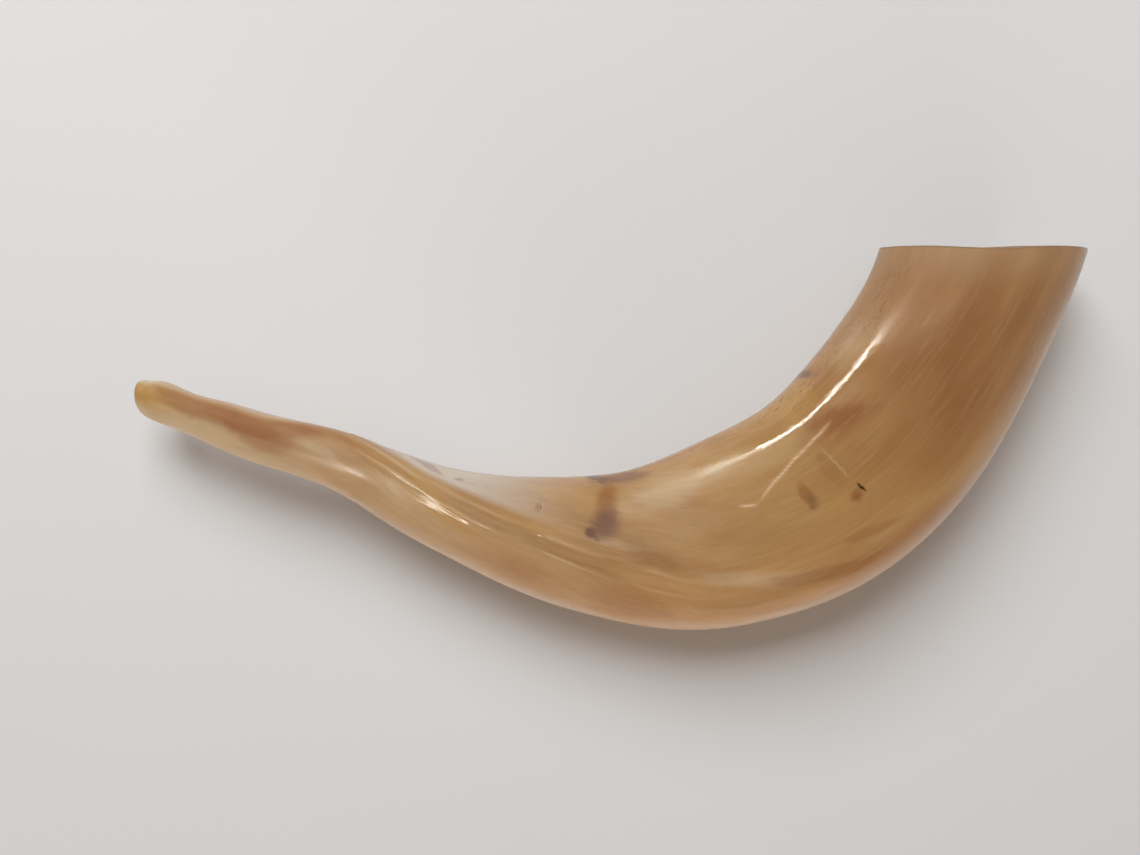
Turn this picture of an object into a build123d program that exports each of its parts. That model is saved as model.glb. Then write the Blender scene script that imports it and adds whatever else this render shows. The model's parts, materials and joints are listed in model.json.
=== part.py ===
from build123d import *
from collections import namedtuple
import math
import os

# A shofar: a curved ram's horn with its bone core taken out, its thin end cut short, drilled and
# carved into a mouthpiece, and its outside sanded and polished. It lies on its side, as on a table:
# +X runs from the mouthpiece to the bell, +Z is up, and the inside of the bend faces +Y.
# It is one continuous horn. The nodes are the stretches that its maker works one by one, and they
# meet face to face on flat cuts.

# ---------------------------------------------------------------- driving dimensions, millimetres
# Cross-sections of the horn, from behind the mouthpiece's lip to just past the bell. x, y and z are the centre.
# half_width is measured level, across the bend, and half_height upright. keel_turn is where the
# raised keel stands, in degrees: 0 is the inside of the bend, 90 the top, 180 the outside. The keel
# stands keel_height proud of the oval. wall is the thickness of the horn around its natural hollow,
# and None where the horn is solid and only drilled.
Section = namedtuple("Section", "x y z half_width half_height keel_turn keel_height wall")
SECTIONS = (
    Section(-149.2, 9.9, 19.2, 5.7, 6.2, 0, 0.0, None),
    Section(-143.0, 7.8, 19.6, 6.7, 7.0, 0, 0.0, None),
    Section(-136.0, 5.0, 20.1, 6.5, 6.4, 0, 0.0, None),
    Section(-126.0, 1.5, 20.8, 7.2, 6.9, 0, 0.2, None),
    Section(-114.0, -2.7, 21.5, 7.8, 7.5, 0, 0.3, None),
    Section(-88.5, -10.2, 22.1, 9.0, 8.7, 30, 0.8, 4.8),
    Section(-76.5, -15.0, 22.0, 10.3, 9.6, 55, 1.1, 5.1),
    Section(-64.5, -21.0, 21.7, 11.8, 10.6, 75, 1.4, 5.2),
    Section(-46.0, -28.2, 21.2, 14.4, 12.2, 90, 1.9, 5.2),
    Section(-22.0, -34.5, 20.2, 19.3, 15.3, 95, 2.3, 5.0),
    Section(-0.5, -37.5, 19.7, 23.2, 17.4, 108, 2.2, 4.6),
    Section(20.0, -37.0, 20.2, 27.5, 19.8, 112, 1.8, 4.2),
    Section(38.5, -32.5, 21.7, 30.0, 21.5, 127, 1.2, 4.0),
    Section(63.0, -22.0, 23.4, 31.4, 23.3, 150, 0.9, 3.8),
    Section(82.0, -6.0, 24.4, 31.6, 24.2, 175, 0.9, 3.6),
    Section(98.0, 14.5, 24.8, 31.0, 24.6, 195, 0.9, 3.5),
    Section(110.5, 35.5, 24.8, 30.2, 24.5, 215, 0.8, 3.4),
    Section(121.5, 62.5, 24.9, 31.4, 24.7, 225, 0.7, 3.4),
    Section(130.0, 82.0, 25.4, 32.2, 25.2, 225, 0.6, 3.4),
)
POINTS_PER_SECTION = 24
ROUND = 2.0  # exponent of an ellipse, the upper half of every section
FLATTENING = 0.7  # added to that exponent underneath, where the horn was rubbed flat
KEEL_SHARPNESS = 14  # the higher, the narrower the keel
HOLLOW_KEEL = 0.4  # how much of the keel shows inside

BORE_RADIUS = 3.0  # the hole drilled through the tip into the hollow
HOLLOW_START_RADIUS = 3.8  # the hollow's closed end, a little wider than the drill
CUP_HALF_WIDTH = 3.6  # the carved cup's oval mouth
CUP_HALF_HEIGHT = 4.1
CUP_DEPTH = 9.0
CUP_OVERCUT = 0.2  # how far the cup's cutter starts outside the face
LIP_ROUNDING = 2.0  # the outer edge of the mouthpiece, which stands this far out of the first section
LIP_STEPS = 4

RIM_POINT = (121.5, 59.2, 22.0)  # the sawn end of the bell is a flat oblique cut
RIM_LEAN = 15.2  # degrees that the cut faces upwards from level
RIM_BAND = 8.0  # the paler band beside the cut
RIM_ROUNDING = 0.9  # inner and outer edges of the cut

# Where each stretch ends, as a cross-section's place in SECTIONS, counted from 0.
MOUTHPIECE_END = 2
STEM_END = 6
NECK_END = 10
BEND_END = 14


# ---------------------------------------------------------------- the horn's line and its sections
def centre_line():
    return Spline(*[(s.x, s.y, s.z) for s in SECTIONS])


def section_plane(line, section):
    """The plane square to the horn at a section: its x points into the bend, level, and its y up."""
    centre = Vector(section.x, section.y, section.z)
    along = line.tangent_at(line.param_at_point(centre))
    into_bend = Vector(0, 0, 1).cross(along)
    return Plane(origin=centre, x_dir=into_bend, z_dir=along)


def skin_distance(turn, half_width, half_height, keel_turn, keel_height):
    """How far the skin is from the centre, in the direction turn."""
    across = math.cos(turn)
    up = math.sin(turn)
    exponent = ROUND + FLATTENING * max(-up, 0) ** 1.5
    oval = (abs(across / half_width) ** exponent + abs(up / half_height) ** exponent) ** (-1 / exponent)
    nearness = (1 + math.cos(turn - math.radians(keel_turn))) / 2
    return oval + keel_height * nearness**KEEL_SHARPNESS


def section_wire(plane, half_width, half_height, keel_turn, keel_height):
    points = []
    for i in range(POINTS_PER_SECTION):
        turn = 2 * math.pi * i / POINTS_PER_SECTION
        distance = skin_distance(turn, half_width, half_height, keel_turn, keel_height)
        points.append(plane.from_local_coords((distance * math.cos(turn), distance * math.sin(turn), 0)))
    return Wire([Edge.make_spline(points, periodic=True)])


def outside(line):
    """The whole horn, solid, from the mouthpiece to past the bell."""
    wires = []
    for s in SECTIONS:
        plane = section_plane(line, s)
        wires.append(section_wire(plane, s.half_width, s.half_height, s.keel_turn, s.keel_height))
    return Solid.make_loft(wires)


def lip(line):
    """The mouthpiece's rounded edge, in front of the first section."""
    first = SECTIONS[0]
    start = section_plane(line, first)
    wires = []
    for step in range(LIP_STEPS + 1):
        turn = math.pi / 2 * step / LIP_STEPS
        inset = LIP_ROUNDING * (1 - math.cos(turn))
        plane = start.offset(-LIP_ROUNDING * math.sin(turn))
        wires.append(section_wire(plane, first.half_width - inset, first.half_height - inset, 0, 0))
    return Solid.make_loft(wires)


def natural_hollow(line):
    """The space that the bone core filled, from its closed end to past the bell."""
    wires = []
    for s in SECTIONS:
        if s.wall is None:
            continue
        plane = section_plane(line, s)
        if wires:
            size = (s.half_width - s.wall, s.half_height - s.wall)
        else:
            size = (HOLLOW_START_RADIUS, HOLLOW_START_RADIUS)
        wires.append(section_wire(plane, *size, s.keel_turn, s.keel_height * HOLLOW_KEEL))
    return Solid.make_loft(wires)


def hollow_end():
    """The closed end of the natural hollow, which the drilled hole runs into."""
    first = next(s for s in SECTIONS if s.wall)
    return Vector(first.x, first.y, first.z)


def drill_plane(line):
    """At the middle of the mouthpiece's face, looking along the drilled hole."""
    face = section_plane(line, SECTIONS[0]).offset(-LIP_ROUNDING)
    return Plane(face.origin, x_dir=face.x_dir, z_dir=hollow_end() - face.origin)


def bore(drill):
    depth = (hollow_end() - drill.origin).length
    return Solid.make_cylinder(BORE_RADIUS, depth, drill)


def cup(drill):
    """The mouthpiece's cup: an oval mouth that narrows to the bore."""
    mouth = section_wire(drill.offset(-CUP_OVERCUT), CUP_HALF_WIDTH, CUP_HALF_HEIGHT, 0, 0)
    throat = Wire.make_circle(BORE_RADIUS, drill.offset(CUP_DEPTH))
    return Solid.make_loft([mouth, throat], ruled=True)


def rim_plane():
    """The flat cut at the bell, facing out of it."""
    lean = math.radians(RIM_LEAN)
    return Plane(origin=RIM_POINT, x_dir=(1, 0, 0), z_dir=(0, math.cos(lean), math.sin(lean)))


# ---------------------------------------------------------------- build
def whole_horn(line):
    """The finished horn in one solid, before it is told apart into its stretches."""
    drill = drill_plane(line)
    horn = outside(line).split(rim_plane(), keep=Keep.BOTTOM)
    horn = horn + lip(line) - natural_hollow(line) - bore(drill) - cup(drill)
    cut = horn.faces().filter_by(rim_plane())[0]
    return horn.solid().fillet(RIM_ROUNDING, cut.edges())


def stretches(horn, line):
    """The horn told apart by flat cuts, as a list of names and solids from mouthpiece to rim."""
    cuts = {
        "mouthpiece": section_plane(line, SECTIONS[MOUTHPIECE_END]),
        "stem": section_plane(line, SECTIONS[STEM_END]),
        "neck": section_plane(line, SECTIONS[NECK_END]),
        "bend": section_plane(line, SECTIONS[BEND_END]),
        "bell": rim_plane().offset(-RIM_BAND),
    }
    nodes = {}
    for name, plane in cuts.items():
        nodes[name] = horn.split(plane, keep=Keep.BOTTOM)
        horn = horn.split(plane, keep=Keep.TOP)
    nodes["bell_rim"] = horn
    return nodes


def main():
    line = centre_line()
    nodes = stretches(whole_horn(line), line)
    os.makedirs("parts", exist_ok=True)
    for name, solid in nodes.items():
        solid.label = name
        export_step(solid, f"parts/{name}.step")
        print(f"{name:12} {solid.volume / 1000:7.2f} cm3")


if __name__ == "__main__":
    main()
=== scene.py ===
import itertools
import json
import math
from collections import namedtuple

import bpy
import numpy as np
from mathutils import Matrix, Vector
from mathutils.bvhtree import BVHTree


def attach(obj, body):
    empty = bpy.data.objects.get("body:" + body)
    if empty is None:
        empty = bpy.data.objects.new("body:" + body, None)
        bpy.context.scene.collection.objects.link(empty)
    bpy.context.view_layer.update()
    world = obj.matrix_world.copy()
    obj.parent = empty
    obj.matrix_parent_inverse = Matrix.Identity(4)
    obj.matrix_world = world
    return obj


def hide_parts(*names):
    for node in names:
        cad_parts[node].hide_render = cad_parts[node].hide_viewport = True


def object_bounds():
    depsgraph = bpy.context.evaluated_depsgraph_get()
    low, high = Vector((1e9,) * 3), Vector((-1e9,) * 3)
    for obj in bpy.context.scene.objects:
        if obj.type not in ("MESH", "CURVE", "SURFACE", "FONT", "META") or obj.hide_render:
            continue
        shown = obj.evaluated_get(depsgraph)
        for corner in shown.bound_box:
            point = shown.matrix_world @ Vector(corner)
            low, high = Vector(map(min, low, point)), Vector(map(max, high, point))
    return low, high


# The visible shofar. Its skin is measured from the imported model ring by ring, refined to a close grid,
# sculpted, and told apart again into one closed piece for each node.
# It is built in metres, in the frame's own axes: +X from the mouthpiece to the bell, +Y into the bend,
# +Z up. The numbers of the sculpted skin and the stains are in millimetres, unless they say otherwise.
# A place on the skin is given by two numbers: millimetres along the horn from the lip, and degrees
# around it, where 0 is the inside of the bend, 90 the top and 180 the outside of the bend.
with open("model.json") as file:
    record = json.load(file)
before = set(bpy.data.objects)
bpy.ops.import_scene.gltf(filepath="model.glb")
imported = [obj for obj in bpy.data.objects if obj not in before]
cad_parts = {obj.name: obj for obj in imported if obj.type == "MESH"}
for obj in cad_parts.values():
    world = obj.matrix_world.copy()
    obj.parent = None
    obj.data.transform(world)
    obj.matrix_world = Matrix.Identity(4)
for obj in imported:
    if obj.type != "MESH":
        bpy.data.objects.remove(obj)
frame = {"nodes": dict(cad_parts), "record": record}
CAD_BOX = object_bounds()
MOUNTS = {mount["name"]: mount for mount in frame["record"]["mounts"]}
SLOTS = {part["node"]: part["material_slot"] for part in frame["record"]["subparts"]}
MM = 0.001

# ---------------------------------------------------------------- driving sizes
RAYS = 96  # directions in which a ring is measured
RING_STEP = 2.0 * MM  # from one measured ring to the next
FINER_ALONG = 4  # rows made of each step
FINER_AROUND = 3  # columns made of each ray
REACH = 50 * MM  # no wall is further than this from the horn's middle
PAST_WALL = 0.01 * MM  # how far behind one wall the next one is looked for
STEADINESS = 2  # the weight of the last direction of travel against the newly measured one
LEAST_ADVANCE = 0.1  # the least part of a step that is taken to lead to the rim
CLOSE_TO_RIM = 0.001 * MM  # the last ring is no further than this from its place

LIP_DEPTH = 3.4 * MM  # the rounded lip in front of the first ring
LIP_SQUARENESS = 1.1  # 1 is a half ellipse
RIM_DEPTH = 0.5 * MM  # the rounded edge beyond the last ring
RIM_SQUARENESS = 0.5  # below 1 the profile is flatter, with tighter corners
EDGE_STEPS = 9  # rows across the lip and across the rim
FAN = 62 * MM  # over this length the rings turn to lie along the bell's oblique cut
RIM_BAND = 8 * MM  # and over this length they are parallel to it

PIECES = {
    "mouthpiece": "rounded_mouthpiece",
    "stem": "scraped_stem",
    "neck": "twisted_neck",
    "bend": "polished_bend",
    "bell": "polished_bell",
    "bell_rim": "sawn_bell_rim",
}

# ---------------------------------------------------------------- the sculpted skin
# The two edges of the twisted ribbon that runs up the neck and across the bend, as (along, around).
UPPER_CREASE = (
    (60, 15), (80, 47), (93, 60), (105, 67), (122, 79), (137, 89), (147, 95), (172, 111), (191, 130),
)
LOWER_CREASE = (
    (60, 45), (80, 67), (90, 72), (97, 76), (105, 84), (117, 94), (131, 101), (156, 116), (200, 146),
)
CREASE_STARTS = (70, 84)  # along: from nothing to full height
CREASE_ENDS = (160, 190)  # along: from full height to nothing
CREASE_HEIGHT = 0.60
CREASE_WIDTH = 0.42
CREASE_EVENNESS = 0.75  # its height where it is neither worn nor proud, as a part of CREASE_HEIGHT
CREASE_WEAR = 0.5  # how much that part varies
CREASE_WEAR_CELL = (13, 30)  # size along and across the grain

# The fibres on the ribbon between the creases.
FIBRE_HEIGHT = 0.09
FIBRE_CELL = (22, 0.8)
FIBRES_START = (-2, 1)  # from the upper crease: from nothing to full height
FIBRES_END = (1, 6)  # from the lower crease: from full height to nothing

# The hollowed flank on the inner side of the upper crease.
FURROW_DEPTH = 0.75
FURROW_AWAY = 6.0  # from the crease
FURROW_WIDTH = 4.5
STRAIGHT_GRAIN = 89  # degrees: the grain is turned by as much as the upper crease is away from here

# Unevenness left by scraping and sanding: size along the grain, size across it, height.
UNEVENNESS = (
    (40, 9, 0.18),
    (14, 4, 0.05),
    (9, 1.4, 0.02),
)

RIM_WAVES = 4  # round the rim
RIM_WAVE_TURN = 35  # degrees, where the first crest is
RIM_WAVE_HEIGHT = 0.35
RIM_WAVE_REACH = 14  # back from the rim

# A mark on the skin: its middle as along and around, its half sizes lengthwise and crosswise, the lean
# of its length from along the horn towards the outside of the bend, in degrees, and its strength from
# 0 to 1, or for a dent its depth.
Mark = namedtuple("Mark", "along around long wide lean depth")
SLIT = Mark(235.8, 100, 0.32, 1.9, -12, 1.0)
CRACK = Mark(233.4, 75, 0.30, 6.6, -9, 0.8)
# The pit on the flank, two smaller ones, and the slit with its crack.
DENTS = (
    Mark(134.0, 58, 0.6, 1.5, 0, 0.55),
    Mark(141.7, 37, 0.5, 0.5, 0, 0.10),
    Mark(205.0, 48, 0.5, 0.5, 0, 0.08),
    SLIT._replace(depth=0.8),
    CRACK._replace(depth=0.06),
)
DENT_SIDE = (0.5, 1.5)  # parts of its half size: from full depth to nothing

# ---------------------------------------------------------------- where the horn is stained, and where highlight and shade are painted
# The marks that carry each tint.
STAINS_AND_GLINTS = {
    "pale": (
        Mark(2, 20, 12, 7.0, 0, 1.0),
        Mark(0, 150, 8, 9.0, 0, 0.9),
        Mark(30, 14, 34, 3.0, 0, 0.35),
        Mark(26, 150, 38, 7.0, 0, 0.75),
        Mark(64, 84, 12, 1.6, 14, 0.55),
        Mark(88, 92, 9, 1.6, 25, 0.45),
        # painted highlight: these two pale marks paint the broad dim smear of the window lamp's
        # reflection on the bend
        Mark(184, 42, 20, 4.5, -4, 0.45),
        Mark(196, 40, 10, 2.5, -4, 0.5),
        Mark(160, 88, 6, 1.2, 10, 0.4),
        Mark(284, 29, 20, 4.0, -5, 0.5),
        Mark(232, 48, 30, 3.0, 0, 0.25),
        Mark(198, 127, 14, 2.0, 16, 0.45),
        Mark(104, 128, 46, 9.0, 6, 0.38),
        Mark(323, 75, 6, 30.0, 0, 0.35),
    ),
    "grey": (
        Mark(50, 4, 26, 3.0, 0, 0.6),
        Mark(120, 175, 60, 4.0, 0, 0.45),
        Mark(262, 166, 90, 5.0, -2, 0.4),
        Mark(300, 152, 30, 9.0, 0, 0.15),
        Mark(180, 3, 20, 2.5, 0, 0.3),
    ),
    "ochre": (
        Mark(5, 72, 9, 3.6, 0, 1.0),
        Mark(20, 68, 12, 2.2, 0, 0.5),
        Mark(228, 20, 26, 7.0, 0, 0.65),
        Mark(230, 95, 26, 16.0, 10, 0.5),
        Mark(244, 125, 18, 6.0, 10, 0.5),
        Mark(95, 66, 24, 2.2, 30, 0.5),
    ),
    "red": (
        Mark(22, 66, 12, 2.6, 4, 0.7),
        Mark(36, 70, 14, 3.2, 4, 1.0),
        Mark(42, 82, 10, 3.4, 10, 0.85),
        Mark(52, 52, 14, 3.0, -12, 0.8),
        Mark(70, 50, 14, 2.2, 22, 0.5),
        Mark(132, 136, 14, 5.5, 10, 0.45),
        Mark(166, 143, 10, 6.0, 0, 0.5),
        Mark(256, 25, 8, 4.5, 0, 0.4),
        Mark(249, 60, 13, 4.4, 20, 0.8),
        Mark(240, 152, 16, 5.0, 6, 0.4),
        Mark(260, 110, 20, 10.0, 6, 0.35),
    ),
    "brown": (
        Mark(155.2, 42, 3.0, 8.5, 0, 0.8),
        Mark(221, 86, 1.3, 4.6, -8, 0.7),
        Mark(231, 76, 2.0, 6.0, -5, 0.45),
        Mark(233.6, 103, 2.0, 2.0, 0, 1.0),
        Mark(250, 60, 12.0, 4.0, 20, 0.75),
        Mark(246, 56, 5.0, 1.2, 16, 0.5),
        Mark(256, 67, 5.0, 1.4, 24, 0.6),
        Mark(134.3, 58, 0.4, 1.2, 0, 0.7),
        Mark(238, 64, 9.0, 2.4, 28, 0.35),
        Mark(246, 96, 8.0, 4.0, 10, 0.4),
        Mark(263, 98, 2.0, 5.0, 0, 0.4),
        Mark(284, 88, 36, 20, 6, 0.95),
        Mark(306, 46, 22, 16, -10, 0.7),
        Mark(316, 28, 10, 8, 0, 0.4),
        Mark(296, 118, 30, 12, 0, 0.5),
        Mark(217, 140, 12, 1.6, 15, 0.6),
        Mark(234, 130, 8, 1.4, 18, 0.4),
        Mark(176, 104, 16, 3.0, 20, 0.35),
        Mark(190, 13, 16, 0.8, 0, 0.4),
    ),
    "purple": (
        Mark(149.8, 4, 2.8, 7.4, -8, 1.0),
        Mark(152.6, 18, 2.2, 2.6, 0, 0.9),
        Mark(161, 18, 6.0, 2.8, 10, 0.6),
        Mark(155.8, 69, 3.6, 4.2, 0, 0.72),
        Mark(151.8, 79, 1.1, 1.3, -30, 0.95),
        Mark(153.4, 83, 1.2, 0.7, 40, 0.7),
        Mark(95, 22, 5.0, 1.0, 24, 0.35),
        Mark(106, 34, 1.6, 0.7, 0, 0.4),
        Mark(251, 9, 2.6, 4.5, -20, 0.75),
        Mark(279, 4, 1.0, 2.5, 0, 0.5),
        Mark(222, 92, 1.6, 2.6, 0, 0.4),
    ),
}
# Where the polish is worn off: the stem, places on the neck and the bend, and the bell's end.
MATT = (
    Mark(28, 90, 50, 60, 0, 1.0),
    Mark(81, 90, 14, 4, 8, 1.0),
    Mark(182, 40, 18, 8, 0, 0.8),
    Mark(172, 76, 22, 9, 10, 0.8),
    Mark(316, 60, 24, 60, 0, 1.0),
    Mark(134, 40, 30, 9, 10, 0.5),
)
# Where fine dark flecks lie in the grain: along the inside of the bend and the bell.
FLECKED = (
    Mark(238, 16, 46, 6, 0, 1.0),
    Mark(196, 14, 10, 2.0, 0, 1.0),
    Mark(302, 26, 12, 4, 0, 1.0),
)

# The edges of a mark: a big one fades out over more of its own size, and a small one has sharp edges.
SHARPEST, SOFTEST = 0.9, 1.9  # parts of a mark's half size
SOFTENING = 6  # each so many millimetres of half size add 1 to SHARPEST
COARSE_PUSH = 0.28  # how far its edges wander, as a part of its half size
FRAYED_PUSH = 0.9  # how far its edges are frayed, in mm
MOST_FRAYED = 0.55  # and how far they are frayed at most, as a part of its half size
# The layers of the fraying: size along the grain, size across it, weight.
FRAYING = (
    (16, 6, 0.9),
    (5, 1.8, 0.7),
    (1.6, 0.7, 0.35),
)
SLIT_SOFTNESS, CRACK_SOFTNESS = 0.7, 0.9

# The scraped flank between the ribbon and the inside of the bend is grey.
FLANK_STARTS = (60, 86)  # along
FLANK_ENDS = (102, 152)  # along
FLANK_EDGE = (-6, -2)  # from the upper crease
FLANK_UNDERSIDE = (-60, 0)  # degrees from the inside of the bend

# Highlight is painted along the tops of the creases, and shade is painted beside them.
CREASE_GLINT_WIDTHS = (0.35, 0.25)  # of the upper and the lower crease
CREASE_SHADE_AWAY = (1.1, -1.0)  # from the upper and the lower crease
CREASE_SHADE_WIDTH = 0.6
CREASE_LINE_CELL = (11, 20)
CREASE_LINE_SHARE = 0.7  # the higher it is, the fewer gaps there are

# A painted highlight: a thin pale line on top of the bend that stands in for a lamp's reflection, as
# (along, around).
GLINT_LINE = ((200, 72), (206, 76), (213, 66), (222, 58), (232, 54), (243, 52))
GLINT_STARTS = (200, 203)  # along
GLINT_ENDS = (235, 243)  # along
GLINT_WIDTH = 0.22
GLINT_CELL = (3, 3)
GLINT_SHARE = 0.8  # the higher it is, the fewer gaps there are

# Each use of noise has its own seed. Unevenness and fraying use one for each of their rows.
UNEVENNESS_SEED = 1
CREASE_SEED = 11
FIBRE_SEED = 12
FRAYING_SEED = 21
CREASE_LINE_SEED = 31
GLINT_SEED = 33
HASH = (73856093, 19349663, 83492791, 2654435761, 1274126177)  # big odd numbers that mix a cell's place


# ---------------------------------------------------------------- measuring the frame
class Wall:
    """All the CAD nodes as one set of triangles that can be hit by rays."""

    def __init__(self):
        points, faces, self.owner = [], [], []
        for name, node in frame["nodes"].items():
            first = len(points)
            points += [v.co.copy() for v in node.data.vertices]
            faces += [[first + i for i in p.vertices] for p in node.data.polygons]
            self.owner += [name] * len(node.data.polygons)
        self.tree = BVHTree.FromPolygons(points, faces)

    def hits(self, start, direction):
        """How far the first and the last wall are, looking outwards from inside the horn."""
        found, travelled = [], 0.0
        while True:
            hit = self.tree.ray_cast(start + direction * travelled, direction, REACH - travelled)
            if hit[0] is None:
                return found[0], found[-1]
            travelled += hit[3]
            found.append(travelled)
            travelled += PAST_WALL

    def node_at(self, point):
        return self.owner[self.tree.find_nearest(Vector(point))[2]]


def ring_axes(normal):
    """In a ring's plane: level and into the bend, and upright."""
    up = Vector((0, 0, 1))
    up = (up - up.dot(normal) * normal).normalized()
    return up.cross(normal), up


def measure_ring(wall, centre, normal):
    """A ring of points on the outer and on the inner wall, from the inside of the bend over the top."""
    inward, up = ring_axes(normal)
    outer, inner = [], []
    for i in range(RAYS):
        turn = 2 * math.pi * i / RAYS
        direction = inward * math.cos(turn) + up * math.sin(turn)
        near, far = wall.hits(centre, direction)
        outer.append(centre + direction * far)
        inner.append(centre + direction * near)
    return np.array(outer), np.array(inner)


def smooth(x):
    """0 below 0, 1 above 1, and a smooth rise between."""
    x = np.clip(x, 0.0, 1.0)
    return x * x * (3 - 2 * x)


def rising(x, span):
    """0 before a span and 1 after it."""
    start, end = span
    return smooth((x - start) / (end - start))


def falling(x, span):
    """1 before a span and 0 after it."""
    start, end = span
    return smooth((end - x) / (end - start))


def walk_horn(wall):
    """Rings from behind the lip to just short of the rim: centres, outer points and inner points."""
    bore, rim = MOUNTS["drilled_bore"], MOUNTS["bell_rim_face"]
    out, start = Vector(bore["axis"]).normalized(), Vector(bore["pos_m"])
    rim_point, rim_normal = Vector(rim["pos_m"]), Vector(rim["axis"]).normalized()
    face = max((v.co - start).dot(out) for v in frame["nodes"]["mouthpiece"].data.vertices)
    centre, travel = start + out * (face - LIP_DEPTH), -out
    rings = []
    while True:
        left = (rim_point - centre).dot(rim_normal) - RIM_DEPTH
        turned = float(smooth(1 - (left + RIM_DEPTH - RIM_BAND) / FAN))
        normal = travel.lerp(rim_normal, turned).normalized()
        outer, _ = measure_ring(wall, centre, normal)
        middle = Vector(outer.mean(axis=0))
        middle -= normal * (middle - centre).dot(normal)
        outer, inner = measure_ring(wall, middle, normal)
        if rings:
            measured = (middle - rings[-1][0]).normalized()
            travel = (travel * STEADINESS + measured).normalized()
        rings.append((middle, outer, inner))
        if left < CLOSE_TO_RIM:
            return [np.array(column) for column in zip(*rings)]
        advance = max(travel.dot(rim_normal), LEAST_ADVANCE)
        centre = middle + travel * min(RING_STEP, left / advance)


def refine_rows(grid, times):
    """Catmull-Rom rows between the rows of a grid."""
    before = np.concatenate([2 * grid[:1] - grid[1:2], grid[:-1]])
    after = np.concatenate([grid[1:], 2 * grid[-1:] - grid[-2:-1]])
    rows = []
    for i in range(len(grid) - 1):
        a, b, c, d = before[i], grid[i], grid[i + 1], after[i + 1]
        for k in range(times):
            t = k / times
            cubic = 3 * (b - c) + d - a
            square = 2 * a - 5 * b + 4 * c - d
            rows.append(b + 0.5 * t * (c - a + t * (square + t * cubic)))
    return np.array(rows + [grid[-1]])


def refine_columns(grid, times):
    """The same round a closed ring."""
    turned = np.swapaxes(grid, 0, 1)
    wrapped = np.concatenate([turned[-2:], turned, turned[:3]])
    fine = refine_rows(wrapped, times)[2 * times : (2 + len(turned)) * times]
    return np.swapaxes(fine, 0, 1)


def grid_normals(rows, closed=False):
    """Outward unit normals of a grid of rows, each a closed ring."""
    along = np.roll(rows, -1, 0) - np.roll(rows, 1, 0)
    if not closed:
        along[0] = rows[1] - rows[0]
        along[-1] = rows[-1] - rows[-2]
    around = np.roll(rows, -1, 1) - np.roll(rows, 1, 1)
    normals = np.cross(around, along)
    return normals / np.linalg.norm(normals, axis=-1, keepdims=True)


# ---------------------------------------------------------------- places on the skin
def signed(degrees):
    """The same angle between -180 and 180."""
    return (degrees + 180) % 360 - 180


class Places:
    """Where each point of a grid lies: along and around the horn, and in the grain of the horn."""

    def __init__(self, points, centres, along):
        columns = points.shape[1]
        degrees = np.arange(columns) * 360.0 / columns
        self.along = np.repeat(along[:, None], columns, axis=1)
        self.around = np.repeat(degrees[None, :], len(along), axis=0)
        self.radius = np.linalg.norm(points - centres[:, None, :], axis=2) / MM
        self.girth = self.radius.mean(axis=1, keepdims=True) * math.pi / 180  # mm in a degree
        ribbon = np.interp(self.along, *zip(*UPPER_CREASE))
        near = 0.5 + 0.5 * np.cos(np.radians(self.around - ribbon))  # 1 on the ribbon, 0 opposite it
        turned = np.radians(self.around - near * (ribbon - STRAIGHT_GRAIN))
        across = (self.radius * np.cos(turned), self.radius * np.sin(turned))
        self.grain = np.stack([self.along, *across], axis=2)

    def off_line(self, line):
        """Millimetres round the horn from a line given by its (along, around) points."""
        target = np.interp(self.along, *zip(*line))
        return signed(self.around - target) * self.girth

    def within(self, mark):
        """How far each point is from a mark's middle: 1 on its edge."""
        ahead = self.along - mark.along
        aside = signed(self.around - mark.around) * self.girth
        lean = math.radians(mark.lean)
        lengthwise = ahead * math.cos(lean) + aside * math.sin(lean)
        crosswise = aside * math.cos(lean) - ahead * math.sin(lean)
        return np.hypot(lengthwise / mark.long, crosswise / mark.wide)

    def noise(self, long, wide, seed):
        """Noise between -1 and 1, with cells of the given size along and across the grain."""
        return noise(self.grain / (long, wide, wide), seed)


def noise(points, seed):
    """Smooth value noise between -1 and 1, with one cell to a unit."""
    cell = np.floor(points).astype(np.int64)
    part = smooth(points - cell)
    total = 0.0
    for corner in itertools.product((0, 1), repeat=3):
        x, y, z = np.moveaxis(cell + np.array(corner), -1, 0)
        mixed = (x * HASH[0]) ^ (y * HASH[1]) ^ (z * HASH[2]) ^ (seed * HASH[3])
        mixed = (mixed ^ (mixed >> 13)) * HASH[4]
        value = ((mixed ^ (mixed >> 16)) & 0xFFFF) / 0xFFFF
        total = total + value * np.prod(np.where(corner, part, 1 - part), axis=-1)
    return 2 * total - 1


def bell_curve(x):
    """1 at 0 and falling off on both sides, with a round top."""
    return np.exp(-(x * x))


def crest(x):
    """1 at 0 and falling off on both sides, with a narrow top."""
    return np.exp(1 - np.sqrt(1 + x * x))


# ---------------------------------------------------------------- sculpting
def crease_presence(places):
    """1 where the creases are at full height, and 0 beyond their ends."""
    return rising(places.along, CREASE_STARTS) * falling(places.along, CREASE_ENDS)


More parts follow.
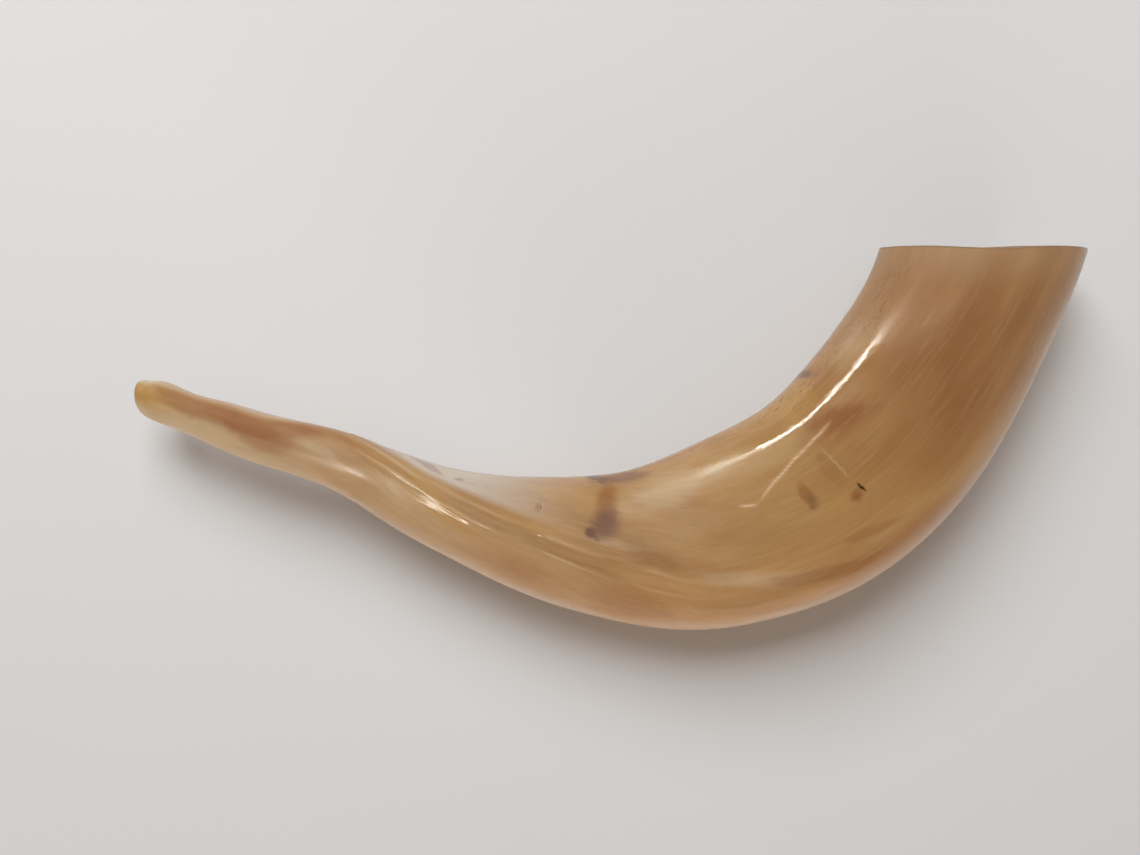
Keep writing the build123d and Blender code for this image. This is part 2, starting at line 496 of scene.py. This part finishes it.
def sculpt(places):
    """How far each point of the outer skin moves outwards, in mm."""
    present = crease_presence(places)
    upper, lower = places.off_line(UPPER_CREASE), places.off_line(LOWER_CREASE)
    uneven = CREASE_EVENNESS + CREASE_WEAR * places.noise(*CREASE_WEAR_CELL, CREASE_SEED)
    ridges = crest(upper / CREASE_WIDTH) + crest(lower / CREASE_WIDTH)
    height = CREASE_HEIGHT * present * uneven * ridges
    height -= FURROW_DEPTH * present * bell_curve((upper + FURROW_AWAY) / FURROW_WIDTH)
    ribbon = rising(upper, FIBRES_START) * falling(lower, FIBRES_END) * present
    height += FIBRE_HEIGHT * ribbon * places.noise(*FIBRE_CELL, FIBRE_SEED)
    for seed, (long, wide, tall) in enumerate(UNEVENNESS, UNEVENNESS_SEED):
        height += tall * places.noise(long, wide, seed)
    for dent in DENTS:
        height -= dent.depth * falling(places.within(dent), DENT_SIDE)
    return height


def wave_rim(grid, along):
    """The cut edge isn't quite flat: rows near the rim are pushed back and forth along its normal."""
    degrees = np.arange(grid.shape[1]) * 360.0 / grid.shape[1]
    wave = RIM_WAVE_HEIGHT * np.cos(np.radians(RIM_WAVES * (degrees - RIM_WAVE_TURN)))
    near = smooth(1 - (along[-1] - along) / RIM_WAVE_REACH)
    push = near[:, None] * wave[None, :] * MM
    return grid + push[..., None] * np.array(MOUNTS["bell_rim_face"]["axis"])


def edge(first, last, out, depth, squareness):
    """Rows of a rounded edge from one ring to another, standing out along a direction."""
    middle, half = (first + last) / 2, (first - last) / 2
    rows = []
    for i in range(1, EDGE_STEPS + 1):
        turn = math.pi * i / (EDGE_STEPS + 1)
        across = math.copysign(abs(math.cos(turn)) ** squareness, math.cos(turn))
        rows.append(middle + half * across + out * depth * math.sin(turn) ** squareness)
    return np.array(rows)


# ---------------------------------------------------------------- the horn's rows
def all_rows(fine, measured):
    """Spreads what is known of each outer row and each measured ring over the whole closed loop."""
    rim = np.repeat(measured[-1:], EDGE_STEPS, axis=0)
    lip = np.repeat(measured[:1], EDGE_STEPS, axis=0)
    return np.concatenate([fine, rim, measured[::-1], lip])


class Horn:
    """Every row of the horn in one closed loop: outer skin, rim, inner wall back again, and lip."""

    def __init__(self, wall):
        centres, outer, inner = walk_horn(wall)
        steps = np.linalg.norm(np.diff(centres, axis=0), axis=1)
        along = (np.concatenate([[0], np.cumsum(steps)]) + LIP_DEPTH) / MM
        self.rings = len(centres)
        self.owners = [wall.node_at(ring[0]) for ring in outer]

        fine_centres = refine_rows(centres, FINER_ALONG)
        fine_along = refine_rows(along, FINER_ALONG)
        outer = refine_columns(refine_rows(outer, FINER_ALONG), FINER_AROUND)
        inner = refine_columns(inner, FINER_AROUND)
        places = Places(outer, fine_centres, fine_along)
        outer = outer + grid_normals(outer) * sculpt(places)[..., None] * MM
        outer, inner = wave_rim(outer, fine_along), wave_rim(inner, along)

        bore_out = np.array(MOUNTS["drilled_bore"]["axis"])
        rim_out = np.array(MOUNTS["bell_rim_face"]["axis"])
        rim = edge(outer[-1], inner[-1], rim_out, RIM_DEPTH, RIM_SQUARENESS)
        lip = edge(inner[0], outer[0], bore_out, LIP_DEPTH, LIP_SQUARENESS)
        self.points = np.concatenate([outer, rim, inner[::-1], lip])
        table = CAD_BOX[0][2]
        self.points[..., 2] = np.maximum(self.points[..., 2], table)  # nothing is pushed through it
        self.normals = grid_normals(self.points, closed=True)
        self.places = Places(self.points, all_rows(fine_centres, centres), all_rows(fine_along, along))
        self.rim_row = len(outer)
        self.inner_row = self.rim_row + EDGE_STEPS
        self.lip_row = self.inner_row + self.rings

    def rows_of(self, node):
        """The rows of one node's closed piece, in the order in which they join."""
        mine = [i for i, owner in enumerate(self.owners) if owner == node]
        first, last = mine[0], min(mine[-1] + 1, self.rings - 1)
        rows = list(range(first * FINER_ALONG, last * FINER_ALONG + 1))
        if last == self.rings - 1:
            rows += range(self.rim_row, self.rim_row + EDGE_STEPS)
        rows += range(self.lip_row - 1 - last, self.lip_row - first)
        if first == 0:
            rows += range(self.lip_row, self.lip_row + EDGE_STEPS)
        return rows


# ---------------------------------------------------------------- what the material is told
def frayed_edges(places):
    """How the edges of marks are pushed about, mostly along the grain: coarsely, and in all."""
    layers = []
    for seed, (long, wide, _) in enumerate(FRAYING, FRAYING_SEED):
        layers.append(places.noise(long, wide, seed))
    total = sum(weight * layer for layer, (_, _, weight) in zip(layers, FRAYING))
    return layers[0], total


def amount_of(places, marks, edges=(0.0, 0.0), softness=None):
    """How strongly each point is marked, from 0 to 1. Small marks have the sharper edges."""
    coarse, frayed = edges
    amount = np.zeros_like(places.along)
    for mark in marks:
        small = min(mark.long, mark.wide)
        soft = softness or min(SHARPEST + small / SOFTENING, SOFTEST)
        pushed = COARSE_PUSH * coarse + frayed * min(FRAYED_PUSH / small, MOST_FRAYED)
        inside = smooth((1 + soft / 2 - places.within(mark) + pushed) / soft)
        amount = np.maximum(amount, mark.depth * inside)
    return amount


def grey_flank(places):
    """The scraped flank between the ribbon and the inside of the bend."""
    from_crease = falling(places.off_line(UPPER_CREASE), FLANK_EDGE)
    from_below = rising(signed(places.around), FLANK_UNDERSIDE)
    lengthwise = rising(places.along, FLANK_STARTS) * falling(places.along, FLANK_ENDS)
    return from_crease * from_below * lengthwise


def crease_lines(places):
    """Where highlight is painted along the tops of the creases, and where shade is painted beside them.
    """
    gaps = smooth(CREASE_LINE_SHARE + places.noise(*CREASE_LINE_CELL, CREASE_LINE_SEED))
    patchy = crease_presence(places) * gaps
    creases = (places.off_line(UPPER_CREASE), places.off_line(LOWER_CREASE))
    light = [crest(crease / width) for crease, width in zip(creases, CREASE_GLINT_WIDTHS)]
    dark = [bell_curve((crease - away) / CREASE_SHADE_WIDTH) for crease, away in zip(creases, CREASE_SHADE_AWAY)]
    return patchy * np.maximum(*light), patchy * np.maximum(*dark)


def painted_glint_line(places):
    """Where the thin line of painted highlight is, with a few gaps."""
    ends = rising(places.along, GLINT_STARTS) * falling(places.along, GLINT_ENDS)
    gaps = smooth(GLINT_SHARE + places.noise(*GLINT_CELL, GLINT_SEED))
    return ends * crest(places.off_line(GLINT_LINE) / GLINT_WIDTH) * gaps


def surface_values(horn):
    """One number, or one vector, for each point of the horn, by name."""
    places = horn.places
    edges = frayed_edges(places)
    values = {name: amount_of(places, stains, edges) for name, stains in STAINS_AND_GLINTS.items()}
    values["grey"] = np.maximum(values["grey"], grey_flank(places))
    # painted highlight along the tops of the creases, and painted shade beside them
    values["crest"], values["painted_crease_shade"] = crease_lines(places)
    # painted highlight: the thin line on the bend
    values["painted_glint"] = painted_glint_line(places)
    values["matt"] = amount_of(places, MATT, edges)
    values["flecked"] = amount_of(places, FLECKED, edges)
    values["slit"] = amount_of(places, [SLIT], softness=SLIT_SOFTNESS)
    values["crack"] = amount_of(places, [CRACK], softness=CRACK_SOFTNESS)
    inner_wall = slice(horn.inner_row, horn.lip_row)
    for grid in values.values():
        grid[inner_wall] = 0
    values["inside"] = np.zeros_like(places.along)
    values["inside"][inner_wall] = 1
    values["cut"] = np.zeros_like(places.along)
    values["cut"][horn.rim_row : horn.inner_row] = 1
    values["grain"] = places.grain
    return values


def add_values(mesh, values, rows):
    """Stores the values of a piece's rows on its points, for the material's Attribute nodes."""
    for name, grid in values.items():
        kind = "FLOAT_VECTOR" if grid.ndim == 3 else "FLOAT"
        attribute = mesh.attributes.new(name, kind, "POINT")
        field = "vector" if grid.ndim == 3 else "value"
        attribute.data.foreach_set(field, grid[rows].astype(np.float32).ravel())


def make_piece(horn, values, node, material):
    """One closed piece: its rows in a loop, each a ring of points."""
    rows = horn.rows_of(node)
    columns = horn.points.shape[1]
    index = np.arange(len(rows) * columns).reshape(len(rows), columns)
    ahead, beside = np.roll(index, -1, 0), np.roll(index, -1, 1)
    corners = np.stack([index, beside, np.roll(ahead, -1, 1), ahead], axis=2).reshape(-1, 4)
    mesh = bpy.data.meshes.new(PIECES[node])
    mesh.from_pydata(horn.points[rows].reshape(-1, 3).tolist(), [], corners.tolist())
    mesh.polygons.foreach_set("use_smooth", [True] * len(mesh.polygons))
    add_values(mesh, values, rows)
    mesh.normals_split_custom_set_from_vertices(horn.normals[rows].reshape(-1, 3).tolist())
    mesh.materials.append(material)
    piece = bpy.data.objects.new(PIECES[node], mesh)
    bpy.context.scene.collection.objects.link(piece)
    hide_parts(node)
    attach(piece, "root")
    return piece


# ---------------------------------------------------------------- materials
COLOUR_A, COLOUR_B, COLOUR_OUT = 6, 7, 2  # the Mix node's sockets for colours


class Nodes:
    """Short ways to add and join shader nodes."""

    def __init__(self, name):
        self.material = bpy.data.materials.new(name)
        self.material.use_nodes = True
        self.tree = self.material.node_tree
        self.shader = self.tree.nodes["Principled BSDF"]

    def put(self, socket, value):
        if isinstance(value, bpy.types.NodeSocket):
            self.tree.links.new(value, socket)
        elif isinstance(value, tuple) and socket.type == "RGBA":
            socket.default_value = (*value, 1.0)
        else:
            socket.default_value = value

    def set(self, **values):
        for name, value in values.items():
            self.put(self.shader.inputs[name.replace("_", " ")], value)

    def value(self, name):
        """One of the values stored on the points."""
        node = self.tree.nodes.new("ShaderNodeAttribute")
        node.attribute_name = name
        return node.outputs["Vector" if name == "grain" else "Fac"]

    def noise(self, cell, detail, roughness=0.55, distortion=0.0, shift=0.0):
        """Noise in the grain's own millimetres, with cells of the given size along and across."""
        mapping = self.tree.nodes.new("ShaderNodeMapping")
        self.put(mapping.inputs["Vector"], self.value("grain"))
        long, wide = cell
        mapping.inputs["Scale"].default_value = (1 / long, 1 / wide, 1 / wide)
        mapping.inputs["Location"].default_value = (shift, shift, shift)
        node = self.tree.nodes.new("ShaderNodeTexNoise")
        self.put(node.inputs["Vector"], mapping.outputs["Vector"])
        node.inputs["Scale"].default_value = 1.0
        node.inputs["Detail"].default_value = detail
        node.inputs["Roughness"].default_value = roughness
        node.inputs["Distortion"].default_value = distortion
        return node.outputs["Fac"]

    def span(self, value, low, high, start=0.0, end=1.0):
        """A value between low and high, stretched to run from start to end."""
        node = self.tree.nodes.new("ShaderNodeMapRange")
        node.interpolation_type = "SMOOTHSTEP"
        for name, number in (("Value", value), ("From Min", low), ("From Max", high)):
            self.put(node.inputs[name], number)
        self.put(node.inputs["To Min"], start)
        self.put(node.inputs["To Max"], end)
        return node.outputs["Result"]

    def math(self, operation, first, second):
        node = self.tree.nodes.new("ShaderNodeMath")
        node.operation = operation
        self.put(node.inputs[0], first)
        self.put(node.inputs[1], second)
        return node.outputs["Value"]

    def share(self, value, part):
        return self.math("MULTIPLY", value, part)

    def mix(self, amount, first, second):
        node = self.tree.nodes.new("ShaderNodeMix")
        node.data_type = "RGBA"
        self.put(node.inputs["Factor"], amount)
        self.put(node.inputs[COLOUR_A], first)
        self.put(node.inputs[COLOUR_B], second)
        return node.outputs[COLOUR_OUT]

    def bump(self, height, distance, normal=None):
        node = self.tree.nodes.new("ShaderNodeBump")
        self.put(node.inputs["Height"], height)
        node.inputs["Distance"].default_value = distance
        node.inputs["Strength"].default_value = 1.0
        if normal is not None:
            self.put(node.inputs["Normal"], normal)
        return node.outputs["Normal"]


# Colours, in linear light.
HONEY = (0.425, 0.238, 0.098)
AMBER = (0.35, 0.187, 0.075)
# pale fibres, and also the painted highlight along the tops of the creases
FIBRE_AND_GLINT_TONE = (0.55, 0.36, 0.19)
# the colour of the painted highlight line on the bend
GLINT_TONE = (0.80, 0.56, 0.36)
FLECK = (0.16, 0.07, 0.02)
HOLLOW = (0.40, 0.24, 0.11)
SAWN = (0.27, 0.165, 0.09)
SLIT_SHADE = (0.012, 0.008, 0.006)
# The colours of the stains and of the painted highlights among the pale marks, in the order in which
# they are laid on.
TINTS = {
    "pale": (0.54, 0.41, 0.26),
    "grey": (0.53, 0.45, 0.385),
    "ochre": (0.41, 0.22, 0.055),
    "red": (0.27, 0.097, 0.031),
    "brown": (0.245, 0.092, 0.027),
    "purple": (0.125, 0.058, 0.046),
}

# Cells of the material's noises, in mm along and across the grain.
CLOUD_CELL = (34, 9)
THREAD_CELL = (26, 0.9)
HAIR_CELL = (5, 0.30)
PORE_CELL = (0.9, 0.4)

# Between which two values of its noise each of these comes in.
CLOUDS_COME = (0.32, 0.68)
STAINS_COME = (0.25, 0.6)
LEAST_STAIN = 0.75  # how much of a stain there is outside the threads
THREADS_COME = (0.42, 0.75)
FLECKS_COME = (0.58, 0.63)
GLOSS_GOES = (0.3, 0.7)

# How much of each colour is laid over the horn's own.
THREAD_LIGHT = 0.2
# painted shade beside the creases, and painted highlight along their tops
CREASE_SHADE_STRENGTH = 0.35
CREASE_GLINT_STRENGTH = 0.75
# how strongly the painted highlight line on the bend is laid on
GLINT_STRENGTH = 0.8
FLECK_DARK = 0.8
CRACK_LIGHT = 0.6

# Roughness: polished horn, what a matt place adds to it, and the inner wall and the saw cut.
POLISHED = (0.03, 0.06)
MATT_ADDS = 0.42
UNPOLISHED = 0.6
HORN_IOR = 1.54

# The depth of the relief.
THREAD_RELIEF = 0.02 * MM
HAIR_RELIEF = 0.008 * MM
PORE_RELIEF = 0.012 * MM

TABLE_TONES = ((0.70, 0.69, 0.69), (0.73, 0.72, 0.72))
TABLE_CLOUDS = 6.0  # to a metre
TABLE_ROUGHNESS = 0.7


def horn_colour(nodes, threads, hairs):
    """Honey and amber clouds, stains broken up by the grain, and what lies on top of them, painted
    highlight and painted shade among it.
    """
    clouds = nodes.noise(CLOUD_CELL, detail=3)
    colour = nodes.mix(nodes.span(clouds, *CLOUDS_COME), HONEY, AMBER)
    broken = nodes.span(threads, *STAINS_COME, LEAST_STAIN, 1.0)
    for tint, tone in TINTS.items():
        colour = nodes.mix(nodes.share(nodes.value(tint), broken), colour, tone)
    flecks = nodes.share(nodes.span(hairs, *FLECKS_COME), nodes.value("flecked"))
    layers = (
        (nodes.span(threads, *THREADS_COME, 0.0, THREAD_LIGHT), FIBRE_AND_GLINT_TONE),
        # painted shade beside the creases, and painted highlight along their tops
        (nodes.share(nodes.value("painted_crease_shade"), CREASE_SHADE_STRENGTH), TINTS["brown"]),
        (nodes.share(nodes.value("crest"), CREASE_GLINT_STRENGTH), FIBRE_AND_GLINT_TONE),
        # painted highlight: the thin line on the bend
        (nodes.share(nodes.value("painted_glint"), GLINT_STRENGTH), GLINT_TONE),
        (nodes.share(flecks, FLECK_DARK), FLECK),
        (nodes.share(nodes.value("crack"), CRACK_LIGHT), FIBRE_AND_GLINT_TONE),
        (nodes.value("inside"), HOLLOW),
        (nodes.value("cut"), SAWN),
        (nodes.value("slit"), SLIT_SHADE),
    )
    for amount, tone in layers:
        colour = nodes.mix(amount, colour, tone)
    return colour


def horn_roughness(nodes, threads):
    """Glossy with a little unevenness, rougher where the polish is worn off or there never was any."""
    polished = nodes.span(threads, *GLOSS_GOES, *POLISHED)
    rough = nodes.math("ADD", polished, nodes.share(nodes.value("matt"), MATT_ADDS))
    unpolished = nodes.math("MAXIMUM", nodes.value("inside"), nodes.value("cut"))
    return nodes.math("MAXIMUM", rough, nodes.share(unpolished, UNPOLISHED))


def horn_material(name):
    """Polished horn: clouded honey with fibres along the grain, stains and a clear gloss."""
    nodes = Nodes(name)
    threads = nodes.noise(THREAD_CELL, detail=5, roughness=0.6, distortion=0.3)
    hairs = nodes.noise(HAIR_CELL, detail=3, shift=40)
    pores = nodes.noise(PORE_CELL, detail=2, shift=80)
    relief = nodes.bump(threads, THREAD_RELIEF)
    relief = nodes.bump(hairs, HAIR_RELIEF, relief)
    relief = nodes.bump(pores, PORE_RELIEF, relief)
    colour = horn_colour(nodes, threads, hairs)
    nodes.set(Base_Color=colour, Roughness=horn_roughness(nodes, threads), Normal=relief, IOR=HORN_IOR)
    return nodes.material


def floor_material():
    """A plain pale table top with a faint unevenness."""
    nodes = Nodes("pale_table")
    place = nodes.tree.nodes.new("ShaderNodeTexCoord")
    cloud = nodes.tree.nodes.new("ShaderNodeTexNoise")
    nodes.put(cloud.inputs["Vector"], place.outputs["Object"])
    cloud.inputs["Scale"].default_value = TABLE_CLOUDS
    nodes.set(Base_Color=nodes.mix(cloud.outputs["Fac"], *TABLE_TONES), Roughness=TABLE_ROUGHNESS)
    return nodes.material


# ---------------------------------------------------------------- stage, light and camera
MIDDLE = Vector((-13, 0, 22)) * MM  # the middle of the picture, half way up the horn
CAMERA_AZIMUTH, CAMERA_ELEVATION = -90, 84  # degrees
CAMERA_AWAY = 354.67 * MM
LENS, SENSOR = 35, 36  # mm
CLIP = (0.01, 20)  # metres: the nearest and the furthest that the camera sees
FLOOR_HALF = 1.6  # metres

ROOM_TONE = (1.0, 0.86, 0.74)
ROOM_STRENGTH = 0.235
DAYLIGHT = (0.94, 0.98, 1.0)
BOUNCED = (1.0, 0.95, 0.9)
WARM = (1.0, 0.96, 0.84)

# A lamp's azimuth and elevation in degrees, distance, width and height in metres, power in watts and
# colour. A mirrored lamp only makes highlights, and the others only light the scene.
Lamp = namedtuple("Lamp", "name azimuth elevation away wide tall power colour mirrored")
LAMPS = (
    Lamp("soft_key", 106, 52, 1.5, 1.1, 1.1, 23.5, DAYLIGHT, False),
    Lamp("low_fill", -90, 4, 2.0, 2.2, 0.2, 34, BOUNCED, False),
    Lamp("window", 118, 25.5, 1.6, 0.30, 0.065, 2.8, WARM, True),
    Lamp("side_lamp", -157, 59, 2.0, 0.6, 0.12, 6.5, WARM, True),
)


def from_angles(azimuth, elevation):
    """A direction: azimuth from +X towards +Y, elevation above the table."""
    a, e = math.radians(azimuth), math.radians(elevation)
    return Vector((math.cos(e) * math.cos(a), math.cos(e) * math.sin(a), math.sin(e)))


def aim(thing, place):
    """Puts a camera or a lamp at a place, looking at the middle of the picture, with its top upwards."""
    ahead = (MIDDLE - place).normalized()
    right = ahead.cross(Vector((0, 0, 1))).normalized()
    thing.location = place
    thing.rotation_euler = Matrix((right, right.cross(ahead), -ahead)).transposed().to_euler()


def add_lamp(lamp):
    """A rectangular area lamp that the camera doesn't see."""
    light = bpy.data.lights.new(lamp.name, "AREA")
    light.shape = "RECTANGLE"
    light.size, light.size_y = lamp.wide, lamp.tall
    light.energy = lamp.power
    light.color = lamp.colour
    stand = bpy.data.objects.new(lamp.name, light)
    bpy.context.scene.collection.objects.link(stand)
    aim(stand, MIDDLE + from_angles(lamp.azimuth, lamp.elevation) * lamp.away)
    stand.visible_camera = False
    stand.visible_glossy = lamp.mirrored
    stand.visible_diffuse = not lamp.mirrored


def add_room():
    """A warm room, which reaches into the shadows and the horn's hollow."""
    world = bpy.data.worlds.new("room")
    bpy.context.scene.world = world
    world.use_nodes = True
    room = world.node_tree.nodes["Background"].inputs
    room["Color"].default_value = (*ROOM_TONE, 1)
    room["Strength"].default_value = ROOM_STRENGTH


def add_floor():
    """The plain table top that the horn lies on."""
    mesh = bpy.data.meshes.new("table_top")
    signs = ((-1, -1), (1, -1), (1, 1), (-1, 1))
    mesh.from_pydata([(x * FLOOR_HALF, y * FLOOR_HALF, 0) for x, y in signs], [], [(0, 1, 2, 3)])
    mesh.materials.append(floor_material())
    floor = bpy.data.objects.new("table_top", mesh)
    bpy.context.scene.collection.objects.link(floor)


def add_camera():
    """The photo's viewing angle: almost straight down."""
    camera = bpy.data.cameras.new("camera")
    camera.lens, camera.sensor_width = LENS, SENSOR
    camera.clip_start, camera.clip_end = CLIP
    view = bpy.data.objects.new("camera", camera)
    bpy.context.scene.collection.objects.link(view)
    aim(view, MIDDLE + from_angles(CAMERA_AZIMUTH, CAMERA_ELEVATION) * CAMERA_AWAY)
    bpy.context.scene.camera = view


horn = Horn(Wall())
values = surface_values(horn)
materials = {slot: horn_material(slot) for slot in ("horn", "pale_horn")}
for node in PIECES:
    make_piece(horn, values, node, materials[SLOTS[node]])
add_floor()
add_room()
for lamp in LAMPS:
    add_lamp(lamp)
add_camera()
bpy.context.scene.view_settings.view_transform = "Standard"
